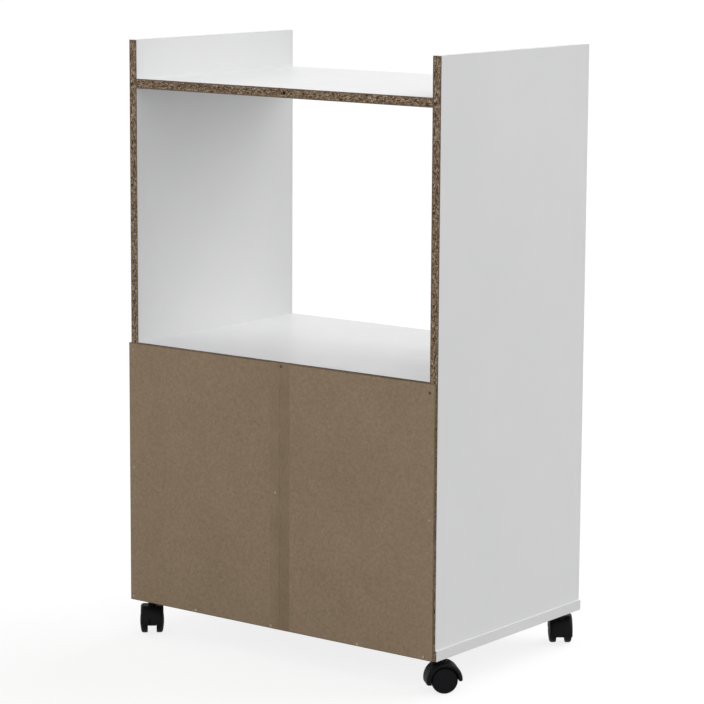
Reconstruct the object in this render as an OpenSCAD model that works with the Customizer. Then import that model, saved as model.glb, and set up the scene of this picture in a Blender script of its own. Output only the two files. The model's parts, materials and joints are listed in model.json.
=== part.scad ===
// Microwave cart: two side panels on a base board with four swivel casters, a recessed top shelf,
// an open microwave bay, and a cabinet below it with two inset doors and a folded hardboard back.
// Front is -Y, the floor is z = 0, and x = y = 0 is the middle of the side panels' footprint.

/* [Carcass] */
// Width over the outer faces of the two side panels
body_w = 596; // [490:1:720]
// Depth of the side panels, with their front edge band
body_d = 388; // [320:1:470]
// Height of the side panels, which stand on the base board
side_h = 876; // [725:1:1055]
// Thickness of the side panels, the shelves and the doors' board
board_t = 15; // [14:0.5:18]
// Thickness of the base board
base_t = 16; // [15:0.5:20]
// How far the base board stands out past the side panels and their front edges
base_lip = 2; // [1:0.5:5]
// How far the side panels rise above the top shelf
tray_h = 60; // [30:1:90]
// Height of the microwave shelf's top above the base board
oven_shelf_h = 402; // [330:1:485]
// Height of the cabinet shelf's top above the base board
inner_shelf_h = 206; // [150:1:250]
// How far the cabinet shelf's front edge lies behind the doors
inner_setback = 20; // [5:1:60]
// Thickness of the white edge bands
band_t = 0.5; // [0.4:0.1:2]
// Diameter of the screw hole in the top shelf's rear edge
tether_hole_d = 5; // [4:0.5:6]
// Depth of that screw hole
tether_hole_depth = 20; // [10:1:30]
// Distance of that screw hole from the middle of the shelf
tether_hole_x = -10; // [-50:1:50]

/* [Back panel] */
// Thickness of the hardboard
back_t = 3; // [2.5:0.1:4]
// How much narrower the back panel is than the body
back_trim = 1; // [0:0.5:6]
// How far the back panel was nailed off centre
back_shift = 2.5; // [0:0.5:3]
// How far its top edge stays below the microwave shelf's top
back_drop = 1.5; // [0:0.5:4]
// Where the fold between its two leaves lies
fold_x = -5; // [-20:1:20]
// Gap between the two leaves
fold_gap = 0.4; // [0.2:0.1:1]
// Width of the paper tape over the fold
tape_w = 38; // [25:1:60]
// Thickness of the paper tape
tape_t = 0.2; // [0.1:0.1:0.4]
// Diameter of the nail heads
nail_head_d = 4.6; // [3.5:0.1:6]
// Thickness of the nail heads
nail_head_t = 0.6; // [0.4:0.1:1]
// Diameter of the nail shanks
nail_d = 1.5; // [1.2:0.1:2]
// Length of the nails under the head
nail_len = 20; // [12:1:25]

/* [Joinery] */
// Diameter of the cam lock discs
cam_d = 14.8; // [12:0.1:15]
// Height of the cam lock discs
cam_h = 12; // [10.5:0.5:12.5]
// Distance of a cam lock's centre from the end of its shelf
cam_back = 24; // [20:1:34]
// Diameter of the cam bolts' shafts
bolt_d = 6; // [5:0.5:6.5]
// Diameter of the cam bolts' threads, which sit in the side panels
bolt_thread_d = 5; // [4:0.5:6]
// Length of those threads
bolt_thread_len = 11; // [8:0.5:12]
// Diameter of the wooden dowels
dowel_d = 8; // [6:0.5:8]
// Length of the wooden dowels
dowel_len = 30; // [25:1:35]
// Length of a dowel that sits in the board it stands on
dowel_sunk = 10; // [8:0.5:12]
// Distance between a cam lock or base screw and the dowel beside it
dowel_pitch = 32; // [25:1:50]
// Distance of the cam locks and base screws from the board's middle
fixing_y = 120; // [90:1:130]
// Diameter of the screws that join the base board to the side panels
base_screw_d = 6.8; // [5:0.1:7]
// Length of those screws
base_screw_len = 50; // [40:1:60]
// Diameter of their heads
base_screw_head_d = 10; // [8:0.5:10]
// Diameter of the pins that carry the cabinet shelf
shelf_pin_d = 5; // [4:0.5:6]
// Length of a shelf pin inside the side panel
shelf_pin_sunk = 8; // [6:0.5:10]
// Length of a shelf pin under the shelf
shelf_pin_out = 8; // [6:0.5:12]

/* [Doors] */
// Gap above and below the doors
door_gap = 2; // [1.5:0.5:4]
// Gap between the two doors
meeting_gap = 3; // [2.5:0.5:5]
// Thickness of the hinge leaves
leaf_t = 1.2; // [1:0.1:1.6]
// Free space between the two leaves of a closed hinge
leaf_play = 0.4; // [0.3:0.1:0.8]
// Width of a hinge leaf on the board's edge
leaf_w = 13; // [10:0.5:13]
// Height of the hinges
leaf_h = 50; // [40:1:70]
// Outer diameter of the hinge knuckles
knuckle_d = 5.2; // [4.8:0.1:6]
// Diameter of the hinge pins
hinge_pin_d = 2.5; // [2:0.1:2.8]
// Distance of a hinge's middle from the door's top or bottom
hinge_inset = 60; // [45:1:90]
// Height of the hinge above and below which its screws sit
leaf_screw_z = 15; // [12:1:18]
// Diameter of the hinge screws
leaf_screw_d = 3; // [2.5:0.1:3.5]
// Length of the hinge screws
leaf_screw_len = 12; // [10:0.5:13]
// Diameter of the knobs
knob_d = 28; // [20:1:36]
// How far the knobs stand out of the doors
knob_h = 20; // [16:1:24]
// Distance of a knob's middle from the door's free edge
knob_inset = 32; // [25:1:60]
// Distance of a knob's middle from the door's top edge
knob_drop = 70; // [50:1:150]
// Diameter of the knob screws
knob_screw_d = 4; // [3:0.5:5]
// Width of the magnetic catches between their ears
catch_w = 28; // [24:1:40]
// Depth of the magnetic catches
catch_d = 14; // [12:1:18]
// Height of the magnetic catches
catch_h = 12; // [10:1:14]
// Length of a catch's ear
catch_ear = 9; // [8:0.5:12]
// Distance of a catch's middle from the middle of the cart
catch_x = 42; // [32:1:90]

/* [Casters] */
// Height of the casters from the floor to the base board
caster_h = 54; // [52:1:62]
// Diameter of the wheels
wheel_d = 40; // [36:1:42]
// Width over both wheels of a caster
wheels_w = 38.5; // [37:0.5:42]
// Width of a wheel's tread
tread_w = 9.5; // [7:0.5:10]
// Distance from the swivel axis to the wheels' axle
trail = 12; // [9:0.5:14]
// Width of the hood over the wheels
hood_w = 36.5; // [34:0.5:38]
// Width of the web between the two wheels
web_w = 13.4; // [13:0.1:14]
// Gap between a wheel and the hood over it
hood_gap = 1.5; // [1:0.1:2]
// Thickness of the hood over the wheels
hood_t = 6; // [4:0.5:6]
// How far the hood's flat top lies below the top of its round
hood_flat = 2.3; // [1:0.1:3]
// Diameter of the casters' stems
stem_d = 8; // [6:0.5:8]
// Diameter of the wheels' axles
axle_d = 5; // [4:0.5:6]
// Distance of a caster's stem from the base board's side edge
stem_inset_x = 20; // [18:1:45]
// Distance of a caster's stem from the base board's front or rear edge
stem_inset_y = 25; // [18:1:45]
// Which way the front left caster has swivelled
swivel_front_left = 308; // [0:1:359]
// Which way the front right caster has swivelled
swivel_front_right = 20; // [0:1:359]
// Which way the rear left caster has swivelled
swivel_rear_left = 227; // [0:1:359]
// Which way the rear right caster has swivelled
swivel_rear_right = 131; // [0:1:359]

/* [Fits] */
// Clearance round a part that is fixed in its hole
seat_clear = 0.05; // [0.02:0.01:0.1]
// Clearance round a pin or shaft that something turns on
run_clear = 0.05; // [0.03:0.01:0.1]
// Spare depth at the bottom of a blind hole
end_clear = 0.5; // [0.3:0.1:1]
// Gap between flat faces that move past each other
slide_gap = 0.3; // [0.2:0.1:0.5]

/* [Hidden] */
$fn = 64;

white = [0.93, 0.93, 0.92];
hardboard_brown = [0.49, 0.43, 0.35];
paper_brown = [0.47, 0.41, 0.33];
zinc = [0.72, 0.72, 0.73];
beech = [0.80, 0.68, 0.50];
nickel = [0.62, 0.61, 0.59];
nylon_black = [0.09, 0.09, 0.10];
magnet_grey = [0.25, 0.25, 0.27];

// Heights
base_z = caster_h;                            // underside of the base board
deck_z = base_z + base_t;                     // top of the base board
top_z = deck_z + side_h;                      // top of the side panels
top_shelf_z = top_z - tray_h;                 // top faces of the three shelves
oven_shelf_z = deck_z + oven_shelf_h;
inner_shelf_z = deck_z + inner_shelf_h;
// Widths and depths
half_w = body_w / 2;
inner_x = half_w - board_t;                   // inner face of a side panel
front_y = -body_d / 2;
back_y = body_d / 2;
inner_front_y = front_y + board_t + inner_setback;
base_x = half_w + base_lip;
base_front_y = front_y - base_lip;

// Joinery
band_joint = 0.05;                            // hairline where two bands meet at a corner
cam_slot_w = bolt_d + 1;                      // width and height of the slot for the bolt's head
cam_key_w = 1.2;                              // groove in a cam's face for the driver
cam_key_len = 0.6 * cam_d;
cam_key_depth = 0.5;
bolt_neck_d = 3.5;
bolt_head_len = 3;
bolt_neck_len = 4;
screw_cone_h = 3;                             // height of a base screw's countersunk head
base_fix_x = half_w - board_t / 2;            // middle of a side panel's bottom edge

// Back panel
back_half_w = (body_w - back_trim) / 2;
back_top_z = oven_shelf_z - back_drop;
side_nail_x = half_w - board_t / 2;
nails = [                                     // x and z of each nail, as hammered in by hand
    [side_nail_x + 0.5, back_top_z - 11],
    [side_nail_x + 1, inner_shelf_z - 6],
    [side_nail_x + 3, base_z + 6],
    [0.55 * half_w, base_z + 3.5],
    [0.04 * half_w, base_z + 4],
    [-0.52 * half_w, base_z + 3.5],
    [-side_nail_x + 13, base_z + 5],
    [-side_nail_x + 4, inner_shelf_z - 9],
    [-side_nail_x + 5, back_top_z - 14],
    [0.012 * half_w, inner_shelf_z - 7.4],
    [-0.026 * half_w, back_top_z - 5]
];

// Doors and hinges
door_w = (2 * inner_x - 2 * (2 * leaf_t + leaf_play) - meeting_gap) / 2;
door_z0 = deck_z + door_gap;
door_z1 = oven_shelf_z - board_t - door_gap;
door_x0 = meeting_gap / 2;                    // free edge of the right-hand door
door_back_y = front_y + board_t;
hinge_x = inner_x - leaf_t - leaf_play / 2;
knuckle_gap = 0.35;                           // between the knuckles and the door's front face
knuckle_out = knuckle_d / 2 + knuckle_gap;    // distance of the hinge axis in front of the door
knuckle_root = 1;                             // how far a knuckle's strip runs on into its leaf
hinge_y = front_y - knuckle_out;
hinge_zs = [door_z0 + hinge_inset, door_z1 - hinge_inset];
knuckle_len = (leaf_h - 2 * slide_gap) / 3;
leaf_screw_head_d = 5.4;
pin_cap_t = 0.8;
pin_cap_d = knuckle_d - 1;
knob_x = door_x0 + knob_inset;
knob_z = door_z1 - knob_drop;
knob_foot_d = 16;
knob_neck_d = 10;
knob_foot_h = 3;
knob_rim_t = 5;                               // the knob's cap, at its middle
knob_flare_h = 4;                             // the cone that widens from the neck to the cap
knob_dome_d = 1.8 * knob_d;                   // sphere that rounds the cap
knob_bore_depth = 12;
knob_bore_spare = 2;                          // the screw ends this far short of its bore's end
knob_screw_head_d = 8;
knob_screw_head_h = 2.4;

// Catches
strike_t = 1;
strike_h = 12;
strike_inset = 0.5;                           // from the door's top edge down to the plate
strike_z = door_z1 - strike_inset - strike_h / 2;
strike_screw_d = 2.5;
strike_screw_len = 10;
catch_y0 = door_back_y + strike_t + slide_gap;
catch_z1 = oven_shelf_z - board_t;
catch_ear_t = 2.5;
catch_ear_step = 1;                           // the ears are this much narrower at front and back
catch_wall = 4;                               // plastic at each side of a magnet
catch_floor = 2;                              // and under it
catch_roof = 3;                               // and above and behind it
catch_screw_d = 2.8;
catch_screw_len = 12;
catch_screw_head_d = 5.6;
magnet_w = catch_w - 2 * catch_wall;
magnet_h = catch_h - catch_floor - catch_roof;
magnet_d = catch_d - catch_roof;
magnet_z0 = catch_z1 - catch_h + catch_floor;

// Casters
wheel_r = wheel_d / 2;
wheel_x0 = web_w / 2 + slide_gap;             // inner face of a wheel, from the caster's middle
wheel_x1 = wheels_w / 2;                      // outer face at its middle
dome_sag = wheel_x1 - wheel_x0 - tread_w;     // how far the outer face bulges past the tread
dome_r = (wheel_r * wheel_r + dome_sag * dome_sag) / (2 * dome_sag);
wheel_rim_t = 3.5;                            // rim and hub left round the recess in its inner face
wheel_hub_t = 4;
wheel_recess = 4;
hub_r = 9.5;
axle_len = wheels_w - 10;                     // ends this far inside the wheels' closed faces
hood_r0 = wheel_r + hood_gap;
hood_r1 = hood_r0 + hood_t;
hood_round = hood_t - 0.5;                    // rounding along the hood's two outer edges
hood_top_z = wheel_r + hood_r1 - hood_flat;
hood_drop_far = 1;                            // how far the hood's ends reach below the axle
hood_drop_stem = 6;
hood_slot_w = 2;                              // slot in the hood's end
hood_slot_h = 9;
hood_slot_depth = 3.5;
hood_slot_y = -5;
hood_slot_z = wheel_r + 0.5;
neck_w = stem_d + 4;
neck_len = trail - 0.5;                       // the neck is this much longer than it is wide
socket_flange_t = 0.8;
socket_flange_d = stem_d + 5;
socket_d = stem_d + 3;
socket_bore_d = stem_d + 0.8;
socket_len = 12.5;
collar_t = 1;
collar_d = stem_d + 4;
neck_top_z = base_z - socket_flange_t - collar_t - slide_gap;
stem_z0 = wheel_r + axle_d / 2 + 8;           // the stem's lower end, inside the hood
neck_z0 = stem_z0 + 6;                        // the neck's lower end, inside the hood's ring
stem_top = 12;                                // how far the stem reaches into the base board
groove_z = 5;
ring_t = 1.2;
ring_gap = 2.4;                               // opening of the grip ring
groove_d = stem_d - 1.4;
stem_x = base_x - stem_inset_x;
stem_front_y = base_front_y + stem_inset_y;
stem_rear_y = back_y - stem_inset_y;

// Draws its children on the right-hand side and mirrored on the left-hand side.
module each_side() {
    for (m = [0, 1]) mirror([m, 0, 0]) children();
}

// A box between two opposite corners.
module block(low, high) {
    translate(low) cube(high - low);
}

// A rod along +X or +Y from a point.
module rod_x(d, len) {
    rotate([0, 90, 0]) cylinder(d = d, h = len);
}

module rod_y(d, len) {
    rotate([-90, 0, 0]) cylinder(d = d, h = len);
}

// A countersunk screw along +Z, with the flat of its head at z = 0.
module countersunk(d, len, head_d, head_h, clear = 0) {
    cylinder(d1 = head_d + 2 * clear, d2 = d + 2 * clear, h = head_h);
    cylinder(d = d + 2 * clear, h = len + (clear > 0 ? end_clear : 0));
}

// ---- Carcass fixings. Each takes the clearance of the hole it sits in, or 0 for itself. ----

// Dowels between the ends of a shelf and the side panels, z being the shelf's top.
module shelf_dowels(z, clear = 0) {
    spare = clear > 0 ? end_clear : 0;
    each_side() for (s = [-1, 1])
        translate([inner_x - (dowel_len - dowel_sunk) - spare, s * (fixing_y - dowel_pitch), z - board_t / 2])
            rod_x(dowel_d + 2 * clear, dowel_len + 2 * spare);
}

// Dowels between the base board and the bottom edges of the side panels.
module base_dowels(clear = 0) {
    spare = clear > 0 ? end_clear : 0;
    each_side() for (s = [-1, 1])
        translate([base_fix_x, s * (fixing_y - dowel_pitch), deck_z - dowel_sunk - spare])
            cylinder(d = dowel_d + 2 * clear, h = dowel_len + 2 * spare);
}

// Screws driven from below through the base board into the side panels.
module base_screw_set(clear = 0) {
    each_side() for (s = [-1, 1])
        translate([base_fix_x, s * fixing_y, base_z])
            countersunk(base_screw_d, base_screw_len, base_screw_head_d, screw_cone_h, clear);
}

// Threads of the cam bolts in the side panels.
module bolt_threads(z, clear = 0) {
    each_side() for (s = [-1, 1])
        translate([inner_x, s * fixing_y, z - board_t / 2])
            rod_x(bolt_thread_d + 2 * clear, bolt_thread_len + (clear > 0 ? end_clear : 0));
}

// Shafts of the cam bolts in the shelf's ends, with their necks and heads inside the cams.
module bolt_shafts(z) {
    shaft = cam_back - bolt_neck_len;
    each_side() for (s = [-1, 1]) translate([inner_x - shaft, s * fixing_y, z - board_t / 2]) {
        rod_x(bolt_d, shaft);
        translate([-bolt_neck_len, 0, 0]) rod_x(bolt_neck_d, bolt_neck_len);
        translate([-bolt_neck_len - bolt_head_len / 2, 0, 0]) rod_x(bolt_d, bolt_head_len);
    }
}

// Drillings in a shelf's ends and underside that take its cam bolts and cam locks.
module cam_drillings(z) {
    each_side() for (s = [-1, 1]) {
        translate([inner_x - cam_back, s * fixing_y, z - board_t / 2])
            rod_x(bolt_d + 2 * seat_clear, cam_back + 1);
        translate([inner_x - cam_back, s * fixing_y, z - board_t - 1])
            cylinder(d = cam_d + 2 * seat_clear, h = cam_h + 1 + end_clear);
    }
}

// Cam lock discs in a shelf's underside, slotted for the bolts' heads.
module cam_set(z) {
    each_side() for (s = [-1, 1])
        translate([inner_x - cam_back, s * fixing_y, z - board_t]) difference() {
            cylinder(d = cam_d, h = cam_h);
            translate([-cam_slot_w / 2, -cam_slot_w / 2, (board_t - cam_slot_w) / 2])
                cube([cam_d, cam_slot_w, cam_slot_w]);
            cube([cam_key_w, cam_key_len, 2 * cam_key_depth], center = true);
        }
}

module shelf_pin_set(clear = 0) {
    spare = clear > 0 ? end_clear : 0;
    z = inner_shelf_z - board_t - shelf_pin_d / 2 - 2 * seat_clear;
    each_side() for (s = [-1, 1]) translate([inner_x - shelf_pin_out, s * fixing_y, z])
        rod_x(shelf_pin_d + 2 * clear, shelf_pin_out + shelf_pin_sunk + spare);
}

// Nail shanks, from the outer face of the back panel forwards.
module nail_shanks(clear = 0) {
    past = clear > 0 ? 1 : 0;
    spare = clear > 0 ? end_clear : 0;
    for (n = nails) translate([n[0], back_y + back_t + past, n[1]])
        rotate([90, 0, 0]) cylinder(d = nail_d + 2 * clear, h = past + nail_len + spare);
}

// ---- Boards ----

module side_panel() {
    difference() {
        block([inner_x, front_y + band_t, deck_z], [half_w, back_y, top_z - band_t]);
        shelf_dowels(top_shelf_z, seat_clear);
        shelf_dowels(oven_shelf_z, seat_clear);
        bolt_threads(top_shelf_z, seat_clear);
        bolt_threads(oven_shelf_z, seat_clear);
        base_dowels(seat_clear);
        base_screw_set(seat_clear);
        shelf_pin_set(seat_clear);
        frame_screw_set(seat_clear);
    }
}

module side_panel_left() {
    color(white) difference() {
        mirror([1, 0, 0]) side_panel();
        nail_shanks(seat_clear);
    }
}

module side_panel_right() {
    color(white) difference() {
        side_panel();
        nail_shanks(seat_clear);
    }
}

// A shelf between the side panels, held by cam locks and dowels.
module cam_shelf(z) {
    difference() {
        block([-inner_x, front_y + band_t, z - board_t], [inner_x, back_y, z]);
        cam_drillings(z);
        shelf_dowels(z, seat_clear);
    }
}

module top_shelf() {
    color(white) difference() {
        cam_shelf(top_shelf_z);
        translate([tether_hole_x, back_y - tether_hole_depth, top_shelf_z - board_t / 2])
            rod_y(tether_hole_d, tether_hole_depth + 1);
    }
}

module microwave_shelf() {
    color(white) difference() {
        cam_shelf(oven_shelf_z);
        nail_shanks(seat_clear);
        catch_screw_set(seat_clear);
    }
}

module cabinet_shelf() {
    color(white) difference() {
        block([-inner_x + slide_gap, inner_front_y + band_t, inner_shelf_z - board_t],
              [inner_x - slide_gap, back_y, inner_shelf_z]);
        nail_shanks(seat_clear);
    }
}

module base_board() {
    color(white) difference() {
        block([-base_x + band_t, base_front_y + band_t, base_z], [base_x - band_t, back_y, deck_z]);
        base_dowels(seat_clear);
        base_screw_set(seat_clear);
        nail_shanks(seat_clear);
        at_each_stem() translate([0, 0, base_z - 1])
            cylinder(d = socket_d + 2 * seat_clear, h = socket_len + 1 + end_clear);
    }
}

// Front and top bands of both side panels.
module side_edge_bands() {
    color(white) each_side() {
        block([inner_x, front_y, deck_z], [half_w, front_y + band_t, top_z - band_t - band_joint]);
        block([inner_x, front_y, top_z - band_t], [half_w, back_y, top_z]);
    }
}

// Front bands of the three shelves.
module shelf_edge_bands() {
    color(white) {
        for (z = [top_shelf_z, oven_shelf_z])
            block([-inner_x, front_y, z - board_t], [inner_x, front_y + band_t, z]);
        block([-inner_x + slide_gap, inner_front_y, inner_shelf_z - board_t],
              [inner_x - slide_gap, inner_front_y + band_t, inner_shelf_z]);
    }
}

// Front band and both side bands of the base board.
module base_edge_bands() {
    color(white) {
        block([-base_x + band_t + band_joint, base_front_y, base_z],
              [base_x - band_t - band_joint, base_front_y + band_t, deck_z]);
        each_side() block([base_x - band_t, base_front_y, base_z], [base_x, back_y, deck_z]);
    }
}

// ---- Back panel ----

module back_leaf(x0, x1) {
    difference() {
        block([x0, back_y, base_z], [x1, back_y + back_t, back_top_z]);
        nail_shanks(seat_clear);
    }
}

module back_leaf_left() {
    color(hardboard_brown) back_leaf(back_shift - back_half_w, fold_x - fold_gap / 2);
}

module back_leaf_right() {
    color(hardboard_brown) back_leaf(fold_x + fold_gap / 2, back_shift + back_half_w);
}

module back_tape() {
    color(paper_brown) difference() {
        block([fold_x - tape_w / 2, back_y + back_t, base_z],
              [fold_x + tape_w / 2, back_y + back_t + tape_t, back_top_z]);
        nail_shanks(seat_clear);
    }
}

// A nail's head lies on the hardboard, or on the tape where the tape runs under it.
function on_tape(x) = abs(x - fold_x) < (tape_w + nail_head_d) / 2;

module back_nails() {
    color(zinc) {
        nail_shanks();
        for (n = nails) translate([n[0], back_y + back_t, n[1]]) {
            rise = on_tape(n[0]) ? tape_t : 0;
            translate([0, rise, 0]) rod_y(nail_head_d, nail_head_t);
            if (rise > 0) rod_y(nail_d, rise);
        }
    }
}

// ---- Fixings as parts ----

module cam_locks() {
    color(zinc) for (z = [top_shelf_z, oven_shelf_z]) cam_set(z);
}

module cam_bolts() {
    color(zinc) for (z = [top_shelf_z, oven_shelf_z]) {
        bolt_threads(z);
        bolt_shafts(z);
    }
}

module dowels() {
    color(beech) {
        for (z = [top_shelf_z, oven_shelf_z]) shelf_dowels(z);
        base_dowels();
    }
}

module base_screws() {
    color(zinc) base_screw_set();
}

module shelf_pins() {
    color(zinc) shelf_pin_set();
}

// ---- Doors. All of these are the right-hand door's; the left-hand one is its mirror image. ----

module at_hinges() {
    for (z = hinge_zs) translate([hinge_x, hinge_y, z]) children();
}

// Screw positions of one hinge leaf, whose exposed face is at x = leaf_play / 2 and looks along -X.
module leaf_screws(clear = 0) {
    for (s = [-1, 1])
        translate([leaf_play / 2, knuckle_out + leaf_w / 2, s * leaf_screw_z])
            rotate([0, 90, 0]) countersunk(leaf_screw_d, leaf_screw_len, leaf_screw_head_d, leaf_t, clear);
}

// One leaf, with its knuckles at the given heights.
module leaf(knuckles) {
    difference() {
        union() {
            translate([leaf_play / 2, knuckle_out, -leaf_h / 2]) cube([leaf_t, leaf_w, leaf_h]);
            for (k = knuckles) translate([0, 0, k - knuckle_len / 2]) {
                cylinder(d = knuckle_d, h = knuckle_len);
                translate([leaf_play / 2, 0, 0]) cube([leaf_t, knuckle_out + knuckle_root, knuckle_len]);
            }
        }
        cylinder(d = hinge_pin_d + 2 * run_clear, h = leaf_h + 2, center = true);
        leaf_screws(seat_clear);
    }
}

module frame_screw_set(clear = 0) {
    each_side() at_hinges() leaf_screws(clear);
}

module door_screw_set(clear = 0) {
    at_hinges() mirror([1, 0, 0]) leaf_screws(clear);
}

module knob_screw_set(clear = 0) {
    len = board_t + knob_bore_depth - knob_bore_spare + (clear > 0 ? end_clear : 0);
    translate([knob_x, door_back_y, knob_z]) rotate([90, 0, 0])
        cylinder(d = knob_screw_d + 2 * clear, h = len);
}

module strike_screw_set(clear = 0) {
    translate([catch_x, door_back_y + strike_t, strike_z]) rotate([90, 0, 0])
        countersunk(strike_screw_d, strike_screw_len, strike_screw_d + 2 * strike_t, strike_t, clear);
}

module door() {
    difference() {
        block([door_x0 + band_t, front_y, door_z0 + band_t],
              [door_x0 + door_w - band_t, door_back_y, door_z1 - band_t]);
        door_screw_set(seat_clear);
        knob_screw_set(seat_clear);
        strike_screw_set(seat_clear);
    }
}

// Bands on the four edges of a door: the upright ones first, and the others between them.
module door_edge_bands() {
    door_x1 = door_x0 + door_w;
    difference() {
        union() {
            for (x = [door_x0, door_x1 - band_t])
                block([x, front_y, door_z0], [x + band_t, door_back_y, door_z1]);
            for (z = [door_z0, door_z1 - band_t])
                block([door_x0 + band_t + band_joint, front_y, z],
                      [door_x1 - band_t - band_joint, door_back_y, z + band_t]);
        }
        door_screw_set(seat_clear);
    }
}

module door_leaves() {
    at_hinges() mirror([1, 0, 0]) leaf([0]);
}

module knob() {
    translate([knob_x, front_y, knob_z]) rotate([90, 0, 0]) difference() {
        union() {
            cylinder(d1 = knob_foot_d, d2 = knob_neck_d, h = knob_foot_h);
            cylinder(d = knob_neck_d, h = knob_h - knob_rim_t + 1);
            translate([0, 0, knob_h]) intersection() {
                translate([0, 0, -knob_dome_d / 2]) sphere(d = knob_dome_d);
                union() {
                    translate([0, 0, -knob_rim_t]) cylinder(d = knob_d, h = knob_rim_t);
                    translate([0, 0, -knob_rim_t - knob_flare_h])
                        cylinder(d1 = knob_neck_d, d2 = knob_d, h = knob_flare_h);
                }
            }
        }
        translate([0, 0, -1]) cylinder(d = knob_screw_d + 2 * seat_clear, h = knob_bore_depth + 1);
    }
}

module knob_screw() {
    knob_screw_set();
    translate([knob_x, door_back_y, knob_z]) rod_y(knob_screw_head_d, knob_screw_head_h);
}

module strike_plate() {
    difference() {
        block([catch_x - catch_w / 2, door_back_y, strike_z - strike_h / 2],
              [catch_x + catch_w / 2, door_back_y + strike_t, strike_z + strike_h / 2]);
        strike_screw_set(seat_clear);
    }
}

module door_right() { color(white) door(); }
module door_left() { color(white) mirror([1, 0, 0]) door(); }
module door_right_edge_bands() { color(white) door_edge_bands(); }
module door_left_edge_bands() { color(white) mirror([1, 0, 0]) door_edge_bands(); }
module door_right_hinge_leaves() { color(nickel) door_leaves(); }
module door_left_hinge_leaves() { color(nickel) mirror([1, 0, 0]) door_leaves(); }
module door_right_hinge_screws() { color(nickel) door_screw_set(); }
module door_left_hinge_screws() { color(nickel) mirror([1, 0, 0]) door_screw_set(); }
module knob_right() { color(nickel) knob(); }
module knob_left() { color(nickel) mirror([1, 0, 0]) knob(); }
module knob_screw_right() { color(zinc) knob_screw(); }
module knob_screw_left() { color(zinc) mirror([1, 0, 0]) knob_screw(); }
module strike_plate_right() { color(zinc) strike_plate(); }
module strike_plate_left() { color(zinc) mirror([1, 0, 0]) strike_plate(); }
module strike_screw_right() { color(zinc) strike_screw_set(); }
module strike_screw_left() { color(zinc) mirror([1, 0, 0]) strike_screw_set(); }

module frame_hinge_leaves() {
    reach = knuckle_len + slide_gap;
    color(nickel) each_side() at_hinges() leaf([-reach, reach]);
}

module hinge_pins() {
    color(nickel) each_side() at_hinges() {
        cylinder(d = hinge_pin_d, h = leaf_h, center = true);
        for (m = [0, 1]) mirror([0, 0, m])
            translate([0, 0, leaf_h / 2]) cylinder(d = pin_cap_d, h = pin_cap_t);
    }
}

module frame_hinge_screws() {
    color(nickel) frame_screw_set();
}

// ---- Magnetic catches under the microwave shelf ----

module catch_screw_set(clear = 0) {
    each_side() for (s = [-1, 1])
        translate([catch_x + s * (catch_w + catch_ear) / 2, catch_y0 + catch_d / 2, catch_z1 - catch_ear_t])
            countersunk(catch_screw_d, catch_screw_len, catch_screw_head_d, catch_ear_t - 0.5, clear);
}

module magnet_space(clear = 0) {
    each_side()
        block([catch_x - magnet_w / 2 - clear, catch_y0 - (clear > 0 ? 1 : 0), magnet_z0 - clear],
              [catch_x + magnet_w / 2 + clear, catch_y0 + magnet_d + clear, magnet_z0 + magnet_h + clear]);
}

module catch_housings() {
    color(white) difference() {
        each_side() {
            block([catch_x - catch_w / 2, catch_y0, catch_z1 - catch_h],
                  [catch_x + catch_w / 2, catch_y0 + catch_d, catch_z1]);
            block([catch_x - catch_w / 2 - catch_ear, catch_y0 + catch_ear_step, catch_z1 - catch_ear_t],
                  [catch_x + catch_w / 2 + catch_ear, catch_y0 + catch_d - catch_ear_step, catch_z1]);
        }
        magnet_space(seat_clear);
        catch_screw_set(seat_clear);
    }
}

module catch_magnets() {
    color(magnet_grey) magnet_space();
}

module catch_screws() {
    color(zinc) catch_screw_set();
}

// ---- Casters. Each is drawn with its swivel axis on z and its wheels trailing towards +X. ----

module at_stem(x, y, turn = 0) {
    translate([x, y, 0]) rotate([0, 0, turn]) children();
}

module at_each_stem() {
    for (x = [-stem_x, stem_x]) for (y = [stem_front_y, stem_rear_y]) at_stem(x, y) children();
}

module caster_sockets() {
    color(nylon_black) at_each_stem() difference() {
        union() {
            translate([0, 0, base_z - socket_flange_t]) cylinder(d = socket_flange_d, h = socket_flange_t);
            translate([0, 0, base_z]) cylinder(d = socket_d, h = socket_len);
        }
        translate([0, 0, base_z - 2]) cylinder(d = socket_bore_d, h = socket_len + 4);
    }
}

module caster_stems() {
    color(zinc) at_each_stem() difference() {
        union() {
            translate([0, 0, stem_z0]) cylinder(d = stem_d, h = base_z + stem_top - stem_z0);
            translate([0, 0, base_z - socket_flange_t - collar_t]) cylinder(d = collar_d, h = collar_t);
        }
        translate([0, 0, base_z + groove_z]) difference() {
            cylinder(d = stem_d + 2, h = ring_t + 2 * seat_clear);
            translate([0, 0, -1]) cylinder(d = groove_d, h = ring_t + 3);
        }
    }
}

// Sprung rings, open at one side, that hold the stems in their sockets.
module stem_grip_rings() {
    color(zinc) at_each_stem() translate([0, 0, base_z + groove_z + seat_clear]) difference() {
        cylinder(d = socket_bore_d - 2 * seat_clear, h = ring_t);
        translate([0, 0, -1]) cylinder(d = groove_d + 2 * seat_clear, h = ring_t + 2);
        translate([0, -ring_gap / 2, -1]) cube([stem_d, ring_gap, ring_t + 2]);
    }
}

// Moves its children from the axle's middle to its place, with the axle along Y.
module at_axle() {
    translate([trail, 0, wheel_r]) rotate([90, 0, 0]) children();
}

// The curved cover over the wheels, as a ring round the axle with its outer edges well rounded.
module hood_ring() {
    rotate_extrude() intersection() {
        translate([hood_r0, -hood_w / 2]) square([hood_t, hood_w]);
        union() {
            translate([hood_r0, -hood_w / 2]) square([hood_t - hood_round, hood_w]);
            translate([hood_r0, hood_round - hood_w / 2]) square([hood_t, hood_w - 2 * hood_round]);
            for (s = [-1, 1])
                translate([hood_r1 - hood_round, s * (hood_w / 2 - hood_round)]) circle(r = hood_round);
        }
    }
}

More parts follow.
